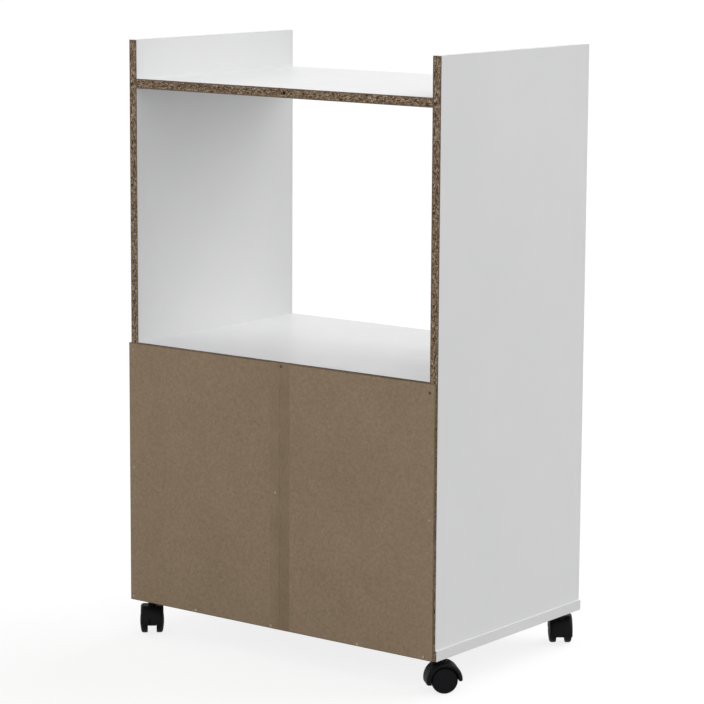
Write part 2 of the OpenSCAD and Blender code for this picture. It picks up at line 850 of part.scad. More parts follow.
module hood() {
    color(nylon_black) difference() {
        union() {
            difference() {
                at_axle() hood_ring();
                block([trail, -hood_w, -hood_r1], [trail + 2 * hood_r1, hood_w, wheel_r - hood_drop_far]);
                block([trail - 2 * hood_r1, -hood_w, -hood_r1], [trail, hood_w, wheel_r - hood_drop_stem]);
                block([trail - 2 * hood_r1, -hood_w, hood_top_z], [trail + 2 * hood_r1, hood_w, caster_h]);
            }
            at_axle() translate([0, 0, -web_w / 2]) linear_extrude(web_w) {
                circle(r = hub_r);
                intersection() {
                    circle(r = hood_r0 + 1);
                    translate([-hood_r1, -hood_drop_far]) square([2 * hood_r1, hood_r1 + hood_drop_far]);
                }
            }
            translate([0, 0, neck_z0]) {
                for (x = [0, neck_len]) translate([x, 0, 0]) cylinder(d = neck_w, h = neck_top_z - neck_z0);
                translate([0, -neck_w / 2, 0]) cube([neck_len, neck_w, neck_top_z - neck_z0]);
            }
        }
        translate([0, 0, stem_z0 - slide_gap]) cylinder(d = stem_d + 2 * run_clear, h = caster_h);
        at_axle() cylinder(d = axle_d + 2 * seat_clear, h = 2 * web_w, center = true);
        translate([trail + hood_r1 - hood_slot_depth, hood_slot_y, hood_slot_z])
            cube([2 * hood_slot_depth, hood_slot_w, hood_slot_h]);
    }
}

module axle() {
    color(zinc) at_axle() cylinder(d = axle_d, h = axle_len, center = true);
}

// A solid wheel with a bulging outer face, recessed on its inner face.
module wheel() {
    color(nylon_black) at_axle() difference() {
        intersection() {
            translate([0, 0, wheel_x0]) cylinder(r = wheel_r, h = wheel_x1 - wheel_x0);
            translate([0, 0, wheel_x1 - dome_r]) sphere(r = dome_r, $fn = 128);
        }
        translate([0, 0, wheel_x0 - 1])
            cylinder(d = axle_d + 2 * run_clear, h = axle_len / 2 - wheel_x0 + 1 + end_clear);
        translate([0, 0, wheel_x0 - 1]) difference() {
            cylinder(r = wheel_r - wheel_rim_t, h = wheel_recess + 1);
            translate([0, 0, -1]) cylinder(r = axle_d / 2 + wheel_hub_t, h = wheel_recess + 3);
        }
    }
}

module wheel_mirrored() {
    mirror([0, 1, 0]) wheel();
}

module place_front_left() { at_stem(-stem_x, stem_front_y, swivel_front_left) children(); }
module place_front_right() { at_stem(stem_x, stem_front_y, swivel_front_right) children(); }
module place_rear_left() { at_stem(-stem_x, stem_rear_y, swivel_rear_left) children(); }
module place_rear_right() { at_stem(stem_x, stem_rear_y, swivel_rear_right) children(); }

side_panel_left();
side_panel_right();
top_shelf();
microwave_shelf();
cabinet_shelf();
base_board();
side_edge_bands();
shelf_edge_bands();
base_edge_bands();
back_leaf_left();
back_leaf_right();
back_tape();
back_nails();
cam_locks();
cam_bolts();
dowels();
base_screws();
shelf_pins();
door_left();
door_right();
door_left_edge_bands();
door_right_edge_bands();
frame_hinge_leaves();
door_left_hinge_leaves();
door_right_hinge_leaves();
hinge_pins();
frame_hinge_screws();
door_left_hinge_screws();
door_right_hinge_screws();
knob_left();
knob_right();
knob_screw_left();
knob_screw_right();
catch_housings();
catch_magnets();
catch_screws();
strike_plate_left();
strike_plate_right();
strike_screw_left();
strike_screw_right();
caster_sockets();
caster_stems();
stem_grip_rings();
place_front_left() hood();  // hood_front_left
place_front_right() hood();  // hood_front_right
place_rear_left() hood();  // hood_rear_left
place_rear_right() hood();  // hood_rear_right
place_front_left() axle();  // axle_front_left
place_front_right() axle();  // axle_front_right
place_rear_left() axle();  // axle_rear_left
place_rear_right() axle();  // axle_rear_right
place_front_left() wheel();  // wheel_front_left_a
place_front_left() wheel_mirrored();  // wheel_front_left_b
place_front_right() wheel();  // wheel_front_right_a
place_front_right() wheel_mirrored();  // wheel_front_right_b
place_rear_left() wheel();  // wheel_rear_left_a
place_rear_left() wheel_mirrored();  // wheel_rear_left_b
place_rear_right() wheel();  // wheel_rear_right_a
place_rear_right() wheel_mirrored();  // wheel_rear_right_b
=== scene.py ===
"""Microwave cart: white melamine boards with raw rear edges, a folded hardboard back, two inset doors
and four twin-wheel casters. Everything is in metres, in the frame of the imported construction."""
import json
import math

import bmesh
import bpy
from mathutils import Matrix, Vector, noise

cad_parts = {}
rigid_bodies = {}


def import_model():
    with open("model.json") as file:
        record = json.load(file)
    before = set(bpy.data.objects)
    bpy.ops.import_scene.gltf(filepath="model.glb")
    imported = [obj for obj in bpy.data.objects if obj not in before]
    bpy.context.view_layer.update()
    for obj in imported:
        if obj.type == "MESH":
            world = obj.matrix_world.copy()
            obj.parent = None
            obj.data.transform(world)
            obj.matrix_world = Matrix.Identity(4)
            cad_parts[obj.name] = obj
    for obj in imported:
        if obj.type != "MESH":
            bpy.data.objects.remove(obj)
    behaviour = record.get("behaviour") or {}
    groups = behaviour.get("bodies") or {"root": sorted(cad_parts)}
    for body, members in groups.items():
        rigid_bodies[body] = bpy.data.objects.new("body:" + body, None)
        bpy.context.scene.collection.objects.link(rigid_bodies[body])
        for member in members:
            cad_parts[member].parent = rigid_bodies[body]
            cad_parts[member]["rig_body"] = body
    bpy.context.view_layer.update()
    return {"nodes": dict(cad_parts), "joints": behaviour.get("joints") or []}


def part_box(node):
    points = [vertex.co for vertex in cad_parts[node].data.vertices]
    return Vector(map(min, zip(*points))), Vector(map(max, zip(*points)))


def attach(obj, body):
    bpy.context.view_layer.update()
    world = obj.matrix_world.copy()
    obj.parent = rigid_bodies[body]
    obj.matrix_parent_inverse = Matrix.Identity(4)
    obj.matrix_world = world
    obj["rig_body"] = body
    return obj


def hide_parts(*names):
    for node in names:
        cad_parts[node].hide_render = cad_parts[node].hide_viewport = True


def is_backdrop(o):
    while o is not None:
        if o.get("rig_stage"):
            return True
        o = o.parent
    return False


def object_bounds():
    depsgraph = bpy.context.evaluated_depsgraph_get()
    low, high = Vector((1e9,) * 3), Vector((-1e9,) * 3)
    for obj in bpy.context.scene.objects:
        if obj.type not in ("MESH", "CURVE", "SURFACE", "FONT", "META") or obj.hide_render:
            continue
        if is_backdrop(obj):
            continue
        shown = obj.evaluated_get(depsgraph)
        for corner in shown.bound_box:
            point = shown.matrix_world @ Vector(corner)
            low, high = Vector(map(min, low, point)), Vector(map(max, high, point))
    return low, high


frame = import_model()
nodes = frame["nodes"]
mm = 0.001

# ---- Camera ----
# It stands behind the cart, towards the left-hand side as named from the front, a little above the tray,
# and looks slightly down at it through a long lens.
camera_place = (-2.66698, 3.50105, 1.20171)
camera_azimuth = math.radians(217.382)
camera_elevation = math.radians(9.552)
camera_roll = math.radians(0.3135)
camera_data = bpy.data.cameras.new("camera")
camera_data.lens = 145.46
camera_data.sensor_width = 36
camera_data.clip_start = 0.1
camera_data.clip_end = 200
camera = bpy.data.objects.new("camera", camera_data)
towards_camera = Vector((
    math.sin(camera_azimuth) * math.cos(camera_elevation),
    -math.cos(camera_azimuth) * math.cos(camera_elevation),
    math.sin(camera_elevation),
))
aim = (-towards_camera).to_track_quat("-Z", "Y").to_matrix().to_4x4()
camera.matrix_world = Matrix.Translation(camera_place) @ aim @ Matrix.Rotation(camera_roll, 4, "Z")
bpy.context.scene.collection.objects.link(camera)
bpy.context.scene.camera = camera

# ---- Boards ----
# Particleboard faced on both sides with white melamine foil: two side panels, the three shelves, the base
# board and the two doors. They are sawn and drilled to size, and their rear edges are left raw, so that the
# pressed chips show there between the two foils.
foil_t = 0.45 * mm
broad_face = 1e-4
same_place = 0.01 * mm
long_edge = 20 * mm
core_end = 4.9 * mm
dust_start = 6.3 * mm
resin_start = 6.1 * mm
resin_end = 7.0 * mm
flake_cells = (340, 620, 340)
dust_cells = (900, 2100, 900)
flake_wobble = (1.1 * mm, 0.5 * mm, 1.1 * mm)
chip_relief = 0.35 * mm
chip_dark = (0.080, 0.048, 0.028, 1)
chip_mid = (0.290, 0.198, 0.124, 1)
chip_tan = (0.530, 0.385, 0.252, 1)
chip_pale = (0.840, 0.680, 0.490, 1)
# Painted shade for the walls of drilled holes: dark tones that stand in for the shade inside a hole.
bore_shade_dark = (0.030, 0.020, 0.013, 1)
bore_shade_light = (0.075, 0.052, 0.034, 1)
melamine_white = (0.815, 0.815, 0.817, 1)
melamine_grey = (0.790, 0.792, 0.797, 1)
X, Y, Z = range(3)


def add(tree, kind, inputs, **settings):
    """Adds a shader node, with its settings, and fills or links its inputs by name or number."""
    made = tree.nodes.new("ShaderNode" + kind)
    for key, value in settings.items():
        setattr(made, key, value)
    for key, value in inputs.items():
        if isinstance(value, bpy.types.NodeSocket):
            tree.links.new(value, made.inputs[key])
        else:
            made.inputs[key].default_value = value
    return made


def new_group(name, inputs, outputs):
    """A shader node group with its sockets, and its input and output nodes."""
    tree = bpy.data.node_groups.new(name, "ShaderNodeTree")
    for label, kind in inputs:
        tree.interface.new_socket(label, in_out="INPUT", socket_type="NodeSocket" + kind)
    for label, kind in outputs:
        tree.interface.new_socket(label, in_out="OUTPUT", socket_type="NodeSocket" + kind)
    return tree, tree.nodes.new("NodeGroupInput").outputs, tree.nodes.new("NodeGroupOutput").inputs


def new_finish(name, plain):
    """A material, its node tree, its Principled shader with the plain inputs set, and its coordinates."""
    made = bpy.data.materials.new(name)
    made.use_nodes = True
    tree = made.node_tree
    shader = tree.nodes["Principled BSDF"]
    for key, value in plain.items():
        shader.inputs[key].default_value = value
    return made, tree, shader, add(tree, "TexCoord", {}).outputs["Object"]


def drift_group():
    """Colour that drifts between two tones in soft clouds, and a value that drifts with it."""
    tree, given, put = new_group(
        "drift",
        [("Vector", "Vector"), ("Scale", "Float"), ("Low", "Color"), ("High", "Color")],
        [("Color", "Color"), ("Value", "Float")],
    )
    clouds = add(
        tree, "TexNoise",
        {"Vector": given["Vector"], "Scale": given["Scale"], "Detail": 5, "Roughness": 0.6},
    )
    spread = add(tree, "MapRange", {"Value": clouds.outputs[0], "From Min": 0.32, "From Max": 0.68})
    tint = add(
        tree, "Mix",
        {0: spread.outputs[0], 6: given["Low"], 7: given["High"]},
        data_type="RGBA",
    )
    tree.links.new(tint.outputs[2], put["Color"])
    tree.links.new(spread.outputs[0], put["Value"])
    return tree


def grain_group():
    """Fine bumps of a surface. Their scale is in bumps per metre, and their depth in metres."""
    tree, given, put = new_group(
        "grain", [("Vector", "Vector"), ("Scale", "Float"), ("Depth", "Float")], [("Normal", "Vector")]
    )
    bumps = add(
        tree, "TexNoise",
        {"Vector": given["Vector"], "Scale": given["Scale"], "Detail": 3, "Roughness": 0.55},
    )
    bent = add(tree, "Bump", {"Height": bumps.outputs[0], "Distance": given["Depth"], "Strength": 1})
    tree.links.new(bent.outputs[0], put["Normal"])
    return tree


drift = drift_group()
grain = grain_group()


def drifting(tree, place, scale, low, high):
    """Places the drift group in a material and returns its colour and value."""
    made = add(tree, "Group", {}, node_tree=drift)
    tree.links.new(place, made.inputs["Vector"])
    made.inputs["Scale"].default_value = scale
    made.inputs["Low"].default_value = low
    made.inputs["High"].default_value = high
    return made.outputs


def grained(tree, place, scale, depth):
    """Places the grain group in a material and returns its normal."""
    made = add(tree, "Group", {}, node_tree=grain)
    tree.links.new(place, made.inputs["Vector"])
    made.inputs["Scale"].default_value = scale
    made.inputs["Depth"].default_value = depth
    return made.outputs["Normal"]


def between(tree, value, low, high):
    """Maps a value from 0..1 to a range."""
    return add(tree, "MapRange", {"Value": value, "To Min": low, "To Max": high}).outputs[0]


def melamine_finish():
    """White melamine foil: satin, with a fine pearl texture and faint clouds in tone and gloss."""
    made, tree, shader, place = new_finish("melamine", {"Specular IOR Level": 0.35})
    clouds = drifting(tree, place, 5, melamine_grey, melamine_white)
    smears = drifting(tree, place, 23, melamine_grey, melamine_white)
    tree.links.new(clouds["Color"], shader.inputs["Base Color"])
    tree.links.new(between(tree, smears["Value"], 0.33, 0.42), shader.inputs["Roughness"])
    tree.links.new(grained(tree, place, 1400, 0.015 * mm), shader.inputs["Normal"])
    return made


def chipboard_finish():
    """Raw sawn edge of particleboard. Coarse flakes lie flat in the core and fine dust near the faces."""
    made, tree, shader, _ = new_finish("chipboard", {"Specular IOR Level": 0.2})
    place = add(tree, "Attribute", {}, attribute_name="board_place").outputs["Vector"]
    wobble = add(tree, "TexNoise", {"Vector": place, "Scale": 380, "Detail": 2})
    bent = add(
        tree, "VectorMath",
        {0: wobble.outputs["Color"], 1: flake_wobble, 2: place},
        operation="MULTIPLY_ADD",
    ).outputs[0]
    flakes = add(tree, "Mapping", {"Vector": bent, "Scale": flake_cells}, vector_type="POINT").outputs[0]
    dust = add(tree, "Mapping", {"Vector": bent, "Scale": dust_cells}, vector_type="POINT").outputs[0]
    across = add(tree, "SeparateXYZ", {0: place}).outputs["Y"]
    depth = add(tree, "Math", {0: across}, operation="ABSOLUTE").outputs[0]
    near_face = add(
        tree, "MapRange", {"Value": depth, "From Min": core_end, "From Max": dust_start},
        interpolation_type="SMOOTHSTEP",
    ).outputs[0]
    looks = []
    for vector in (flakes, dust):
        cells = add(tree, "TexVoronoi", {"Vector": vector, "Scale": 1})
        rims = add(tree, "TexVoronoi", {"Vector": vector, "Scale": 1}, feature="DISTANCE_TO_EDGE")
        tone = add(tree, "SeparateColor", {0: cells.outputs["Color"]}).outputs[0]
        gap = add(tree, "MapRange", {"Value": rims.outputs["Distance"], "From Max": 0.08}).outputs[0]
        looks.append((tone, gap))
    tone = add(tree, "Mix", {0: near_face, 2: looks[0][0], 3: looks[1][0]}).outputs[0]
    gap = add(tree, "Mix", {0: near_face, 2: looks[0][1], 3: looks[1][1]}).outputs[0]
    ramp = add(tree, "ValToRGB", {0: tone})
    stops = ramp.color_ramp.elements
    stops[0].position, stops[0].color = 0.0, chip_dark
    stops[1].position, stops[1].color = 1.0, chip_pale
    stops.new(0.28).color = chip_mid
    stops.new(0.70).color = chip_tan
    pits = add(tree, "Mix", {0: gap, 6: chip_dark, 7: ramp.outputs[0]}, data_type="RGBA").outputs[2]
    patches = drifting(tree, place, 60, (0.82, 0.78, 0.76, 1), (1.0, 1.0, 1.0, 1))
    shaded = add(tree, "Mix", {0: 1.0, 6: pits, 7: patches["Color"]}, data_type="RGBA", blend_type="MULTIPLY")
    resin = add(
        tree, "MapRange",
        {"Value": depth, "From Min": resin_start, "From Max": resin_end, "To Min": 1.0, "To Max": 0.5},
    ).outputs[0]
    dark = add(tree, "VectorMath", {0: shaded.outputs[2], 3: resin}, operation="SCALE").outputs[0]
    tree.links.new(dark, shader.inputs["Base Color"])
    tree.links.new(between(tree, tone, 0.95, 0.75), shader.inputs["Roughness"])
    height = add(tree, "Math", {0: tone, 1: gap}, operation="MULTIPLY").outputs[0]
    bump = add(tree, "Bump", {"Height": height, "Distance": chip_relief, "Strength": 1})
    tree.links.new(bump.outputs[0], shader.inputs["Normal"])
    return made


def bore_shade_finish():
    """The wall of a hole drilled in particleboard, painted dark as painted shade inside the hole."""
    made, tree, shader, place = new_finish("drilled hole", {"Specular IOR Level": 0.2})
    tone = drifting(tree, place, 900, bore_shade_dark, bore_shade_light)
    tree.links.new(tone["Color"], shader.inputs["Base Color"])
    tree.links.new(between(tree, tone["Value"], 0.7, 0.9), shader.inputs["Roughness"])
    tree.links.new(grained(tree, place, 900, 0.1 * mm), shader.inputs["Normal"])
    return made


def merged_copy(node):
    """A bmesh of a construction part, with its loose triangles joined and its flat faces whole."""
    bm = bmesh.new()
    bm.from_mesh(nodes[node].data)
    bmesh.ops.remove_doubles(bm, verts=bm.verts, dist=1e-6)
    bmesh.ops.dissolve_limit(bm, angle_limit=math.radians(0.5), verts=bm.verts, edges=bm.edges)
    return bm


def soften(bm, edges, width, segments=2):
    """Rounds edges off to a width. One segment makes a chamfer."""
    bmesh.ops.bevel(
        bm, geom=edges, offset=width, offset_type="OFFSET", segments=segments, profile=0.5,
        affect="EDGES", material=-1, clamp_overlap=True,
    )


def keep(name, bm, finishes, *stands_for, smooth=32):
    """Makes a piece of a bmesh. It stands for construction parts, which it hides, and rides as they do.
    Faces over a square centimetre are flat ones, and are shaded flat beside their rounded edges."""
    mesh = bpy.data.meshes.new(name)
    bm.to_mesh(mesh)
    bm.free()
    for finish in finishes:
        mesh.materials.append(finish)
    mesh.shade_smooth()
    mesh.set_sharp_from_angle(angle=math.radians(smooth))
    for face in mesh.polygons:
        face.use_smooth = face.area < broad_face
    piece = bpy.data.objects.new(name, mesh)
    bpy.context.scene.collection.objects.link(piece)
    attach(piece, nodes[stands_for[0]]["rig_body"])
    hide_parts(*stands_for)
    return piece


def board(node, along, across, raw_rear):
    """A drilled board whose thickness lies along the axis `across`, with white faces and raw edges."""
    bm = merged_copy(node)
    low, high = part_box(node)
    middle = (low[across] + high[across]) / 2
    half = (high[across] - low[across]) / 2
    if raw_rear:
        arrises = [
            edge for edge in bm.edges
            if edge.calc_length() > long_edge and all(
                abs(v.co.y - high.y) < same_place and abs(abs(v.co[across] - middle) - half) < same_place
                for v in edge.verts
            )
        ]
        soften(bm, arrises, foil_t, 1)
    place = bm.verts.layers.float_vector.new("board_place")
    for vert in bm.verts:
        vert[place] = (vert.co[along], vert.co[across] - middle, vert.co.y)
    for face in bm.faces:
        centre = face.calc_center_median()
        if abs(abs(centre[across] - middle) - half) < foil_t and abs(face.normal[across]) > 0.3:
            face.material_index = 0
        # Faces inside the board are the walls of holes, which get painted shade.
        elif all(low[axis] + foil_t < centre[axis] < high[axis] - foil_t for axis in range(3)):
            face.material_index = 2
        else:
            face.material_index = 1
    keep(node + "_board", bm, [melamine, chipboard, drilled], node)


melamine = melamine_finish()
chipboard = chipboard_finish()
drilled = bore_shade_finish()
for side in ("left", "right"):
    board("side_panel_" + side, Z, X, raw_rear=True)
    board("door_" + side, Z, Y, raw_rear=False)
for node in ("top_shelf", "microwave_shelf", "cabinet_shelf", "base_board"):
    board(node, X, Z, raw_rear=True)

# ---- Edge bands ----
# Half-millimetre white strips, glued with heat to the sawn edges that show and trimmed flush, with a
# hairline joint and a slightly rounded arris.
arris = 0.12 * mm
band_shortest = 8 * mm
sharp_angle = math.radians(35)


def band_finish():
    """White plastic strip, a shade glossier than the boards' foil."""
    made, tree, shader, place = new_finish("edge band", {"Specular IOR Level": 0.4})
    clouds = drifting(tree, place, 9, (0.745, 0.745, 0.740, 1), (0.775, 0.775, 0.770, 1))
    tree.links.new(clouds["Color"], shader.inputs["Base Color"])
    tree.links.new(between(tree, clouds["Value"], 0.28, 0.38), shader.inputs["Roughness"])
    tree.links.new(grained(tree, place, 900, 0.012 * mm), shader.inputs["Normal"])
    return made


def sharp_edges(bm, shortest):
    """The edges longer than the shortest length where two faces meet at a sharp angle."""
    return [
        edge for edge in bm.edges
        if len(edge.link_faces) == 2 and edge.calc_length() > shortest
        and edge.calc_face_angle() > sharp_angle
    ]


band = band_finish()
for strips in ("side", "shelf", "base", "door_left", "door_right"):
    node = strips + "_edge_bands"
    bm = merged_copy(node)
    soften(bm, sharp_edges(bm, band_shortest), arris, 1)
    keep(strips + "_bands", bm, [band], node)

# ---- Hardboard back ----
# A 3 mm sheet of wet-process hardboard in two leaves, folded for its box: bare brown fibre outside, a
# thin white lacquer inside. It is nailed over the lower cabinet, a few millimetres off centre.
fibre_brown = (0.385, 0.282, 0.182, 1)
fibre_light = (0.418, 0.308, 0.202, 1)
fibre_pale = (0.560, 0.430, 0.300, 1)
fibre_dark = (0.230, 0.164, 0.104, 1)
# A dark fibre tone that also serves as painted shade: on the sheet's cut edges, its rim and the tape's fold.
dark_fibre_and_shade = (0.090, 0.065, 0.042, 1)
rim_width = 1.6 * mm
rim_strength = 0.75
sheet_arris = 0.25 * mm
back_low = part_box("back_leaf_left")[0]
back_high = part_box("back_leaf_right")[1]


def flecks(tree, place, scale, share, reach):
    """A mask of small scattered flecks: the share of cells that have one, and its reach in its cell."""
    cells = add(tree, "TexVoronoi", {"Vector": place, "Scale": scale})
    chosen = add(tree, "SeparateColor", {0: cells.outputs["Color"]}).outputs[0]
    has_one = add(tree, "Math", {0: chosen, 1: share}, operation="LESS_THAN").outputs[0]
    spot = add(
        tree, "MapRange",
        {"Value": cells.outputs["Distance"], "From Min": 0.5 * reach, "From Max": reach,
         "To Min": 1.0, "To Max": 0.0},
    ).outputs[0]
    return add(tree, "Math", {0: has_one, 1: spot}, operation="MULTIPLY").outputs[0]


def rim_mask(tree, place, low, high, width):
    """A mask that falls from 1 at the sheet's rim in x and z to 0 at that width inside it."""
    parts = add(tree, "SeparateXYZ", {0: place}).outputs
    nearest = None
    for axis in (X, Z):
        middle = (low[axis] + high[axis]) / 2
        half = (high[axis] - low[axis]) / 2
        off = add(tree, "Math", {0: parts[axis], 1: middle}, operation="SUBTRACT").outputs[0]
        size = add(tree, "Math", {0: off}, operation="ABSOLUTE").outputs[0]
        inside = add(tree, "Math", {0: half, 1: size}, operation="SUBTRACT").outputs[0]
        nearest = inside if nearest is None else add(
            tree, "Math", {0: nearest, 1: inside}, operation="MINIMUM"
        ).outputs[0]
    return add(
        tree, "MapRange", {"Value": nearest, "From Max": width, "To Min": 1.0, "To Max": 0.0}
    ).outputs[0]


def hardboard_finish(name, low_tone, high_tone, rim):
    """Bare pressed fibre: clouded, finely mottled, with light and dark flecks and, if asked, a darker rim
    that is part cut fuzz, part painted shade.
    """
    made, tree, shader, place = new_finish(name, {"Specular IOR Level": 0.25})
    clouds = drifting(tree, place, 11, low_tone, high_tone)
    mottle = drifting(tree, place, 230, (0.87, 0.87, 0.86, 1), (1.13, 1.13, 1.14, 1))
    colour = add(
        tree, "Mix", {0: 1.0, 6: clouds["Color"], 7: mottle["Color"]}, data_type="RGBA", blend_type="MULTIPLY"
    ).outputs[2]
    light = flecks(tree, place, 170, 0.045, 0.22)
    colour = add(tree, "Mix", {0: light, 6: colour, 7: fibre_pale}, data_type="RGBA").outputs[2]
    dark = flecks(tree, place, 210, 0.04, 0.25)
    colour = add(tree, "Mix", {0: dark, 6: colour, 7: fibre_dark}, data_type="RGBA").outputs[2]
    # The rim is darkened partly as cut fuzz and partly as painted shade from the sheet's edge.
    if rim:
        edge = rim_mask(tree, place, back_low, back_high, rim_width)
        faded = add(tree, "Math", {0: edge, 1: rim_strength}, operation="MULTIPLY").outputs[0]
        colour = add(tree, "Mix", {0: faded, 6: colour, 7: dark_fibre_and_shade}, data_type="RGBA").outputs[2]
    tree.links.new(colour, shader.inputs["Base Color"])
    tree.links.new(between(tree, mottle["Value"], 0.72, 0.88), shader.inputs["Roughness"])
    tree.links.new(grained(tree, place, 1100, 0.05 * mm), shader.inputs["Normal"])
    return made


def lacquer_finish():
    """The thin white lacquer on the inside of the hardboard, a little uneven over the fibres."""
    made, tree, shader, place = new_finish("white lacquer", {"Specular IOR Level": 0.4})
    clouds = drifting(tree, place, 60, (0.74, 0.74, 0.72, 1), (0.79, 0.79, 0.77, 1))
    tree.links.new(clouds["Color"], shader.inputs["Base Color"])
    tree.links.new(between(tree, clouds["Value"], 0.45, 0.6), shader.inputs["Roughness"])
    tree.links.new(grained(tree, place, 500, 0.03 * mm), shader.inputs["Normal"])
    return made


hardboard = hardboard_finish("hardboard", fibre_brown, fibre_light, rim=True)
# The sheet's cut edges are painted darker: partly their own rough fibre, partly painted shade.
hardboard_edge_and_shade = hardboard_finish("hardboard edge", dark_fibre_and_shade, fibre_brown, rim=False)
lacquer = lacquer_finish()
for side in ("left", "right"):
    node = "back_leaf_" + side
    bm = merged_copy(node)
    soften(bm, sharp_edges(bm, long_edge), sheet_arris, 2)
    for face in bm.faces:
        face.material_index = 0 if face.normal.y > 0.5 else 2 if face.normal.y < -0.5 else 1
    keep(node + "_sheet", bm, [hardboard, hardboard_edge_and_shade, lacquer], node)

# ---- Paper tape ----
# Brown gummed paper, stuck over the fold between the two leaves. It has sunk a little into the fold and
# cockled as its glue dried, its two edges are pressed almost flush, and it is darker low down on one side.
tape_brown = (0.358, 0.260, 0.168, 1)
tape_light = (0.408, 0.300, 0.196, 1)
tape_shade = (0.880, 0.870, 0.860, 1)
tape_columns = 38
tape_rows = 140
crease_depth = 0.12 * mm
crease_width = 1.6 * mm
cockle = 0.05 * mm
cockles_across = 90
cockles_along = 45
flat_edge = 3 * mm
pressed_edge = 2 * mm
edge_thinning = 0.85
shade_start = 14 * mm
shade_full = -8 * mm


def tape_finish():
    """Kraft paper: mottled along its fibres, shaded towards one side, with a dark line of painted shade in
    the fold's crease.
    """
    made, tree, shader, place = new_finish("paper tape", {"Specular IOR Level": 0.2})
    clouds = drifting(tree, place, 26, tape_brown, tape_light)
    fibres = add(tree, "Mapping", {"Vector": place, "Scale": (900, 900, 180)}, vector_type="POINT").outputs[0]
    mottle = drifting(tree, fibres, 1, (0.86, 0.86, 0.86, 1), (1.14, 1.14, 1.14, 1))
    colour = add(
        tree, "Mix", {0: 1.0, 6: clouds["Color"], 7: mottle["Color"]}, data_type="RGBA", blend_type="MULTIPLY"
    ).outputs[2]
    parts = add(tree, "SeparateXYZ", {0: place}).outputs
    off = add(tree, "Math", {0: parts["X"], 1: fold_x}, operation="SUBTRACT").outputs[0]
    size = add(tree, "Math", {0: off}, operation="ABSOLUTE").outputs[0]
    side = add(
        tree, "MapRange", {"Value": off, "From Min": shade_start, "From Max": shade_full},
        interpolation_type="SMOOTHSTEP",
    ).outputs[0]
    lower = add(
        tree, "MapRange",
        {"Value": parts["Z"], "From Min": tape_high.z, "From Max": tape_low.z, "To Min": 0.35, "To Max": 1.0},
    ).outputs[0]
    side = add(tree, "Math", {0: side, 1: lower}, operation="MULTIPLY").outputs[0]
    shade = add(tree, "Mix", {0: side, 6: (1, 1, 1, 1), 7: tape_shade}, data_type="RGBA").outputs[2]
    colour = add(
        tree, "Mix", {0: 1.0, 6: colour, 7: shade}, data_type="RGBA", blend_type="MULTIPLY"
    ).outputs[2]
    # Painted shade along the fold's crease, broken up into streaks.
    crease_shade = add(
        tree, "MapRange", {"Value": size, "From Max": crease_width, "To Min": 0.3, "To Max": 0.0}
    ).outputs[0]
    streaks = add(tree, "TexNoise", {"Vector": place, "Scale": 30, "Detail": 4}).outputs[0]
    crease_shade_breakup = add(tree, "MapRange", {"Value": streaks, "From Min": 0.35, "From Max": 0.65}).outputs[0]
    mask = add(tree, "Math", {0: crease_shade, 1: crease_shade_breakup}, operation="MULTIPLY").outputs[0]
    colour = add(tree, "Mix", {0: mask, 6: colour, 7: dark_fibre_and_shade}, data_type="RGBA").outputs[2]
    tree.links.new(colour, shader.inputs["Base Color"])
    tree.links.new(between(tree, mottle["Value"], 0.7, 0.85), shader.inputs["Roughness"])
    tree.links.new(grained(tree, place, 700, 0.05 * mm), shader.inputs["Normal"])
    return made


tape_low, tape_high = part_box("back_tape")
fold_x = (tape_low.x + tape_high.x) / 2
tape_t = tape_high.y - tape_low.y
bm = bmesh.new()
bmesh.ops.create_cube(bm, size=1)
bmesh.ops.scale(bm, vec=tape_high - tape_low, verts=bm.verts)
bmesh.ops.translate(bm, vec=(tape_low + tape_high) / 2, verts=bm.verts)
for axis, cuts in ((X, tape_columns - 1), (Z, tape_rows - 1)):
    level = [e for e in bm.edges if abs((e.verts[1].co - e.verts[0].co)[axis]) > 1 * mm]
    bmesh.ops.subdivide_edges(bm, edges=level, cuts=cuts, use_grid_fill=True)
for vert in bm.verts:
    if vert.co.y < tape_high.y - tape_t / 2:
        continue
    from_fold = abs(vert.co.x - fold_x)
    from_edge = min(vert.co.x - tape_low.x, tape_high.x - vert.co.x)
    rise = 1 - edge_thinning * max(0, 1 - from_edge / pressed_edge) ** 2
    wave = noise.noise(Vector((vert.co.x * cockles_across, 0, vert.co.z * cockles_along)))
    sink = crease_depth * max(0, 1 - from_fold / crease_width)
    vert.co.y = tape_low.y + tape_t * rise - sink + cockle * wave * min(1, from_edge / flat_edge) - cockle / 2
keep("fold_tape", bm, [tape_finish()], "back_tape", smooth=60)

# ---- Nails ----
# Thin wire nails that hold the back, hammered in by hand: slightly domed heads with a rim, a ribbed neck
# and a long point. Their zinc has gone dull, and two of them are blackened.
nail_steps = 24
nail_head_t = 0.6 * mm
nail_shank_r = 0.75 * mm
rib_count = 9
rib_dip = 0.86
rib_start = 0.6 * mm
rib_pitch = 0.4 * mm


def steel_finish(name, low_tone, high_tone, gloss, scratch=(1, 1, 1)):
    """Plated steel with clouds in its tint and gloss. scratch squeezes its scratches along one axis."""
    made, tree, shader, place = new_finish(name, {"Metallic": 1.0})
    tint = drifting(tree, place, 160, low_tone, high_tone)
    drawn = add(tree, "Mapping", {"Vector": place, "Scale": scratch}, vector_type="POINT").outputs[0]
    wear = drifting(tree, drawn, 900, low_tone, high_tone)
    tree.links.new(tint["Color"], shader.inputs["Base Color"])
    tree.links.new(between(tree, wear["Value"], gloss[0], gloss[1]), shader.inputs["Roughness"])
    tree.links.new(grained(tree, drawn, 1500, 0.008 * mm), shader.inputs["Normal"])
    return made


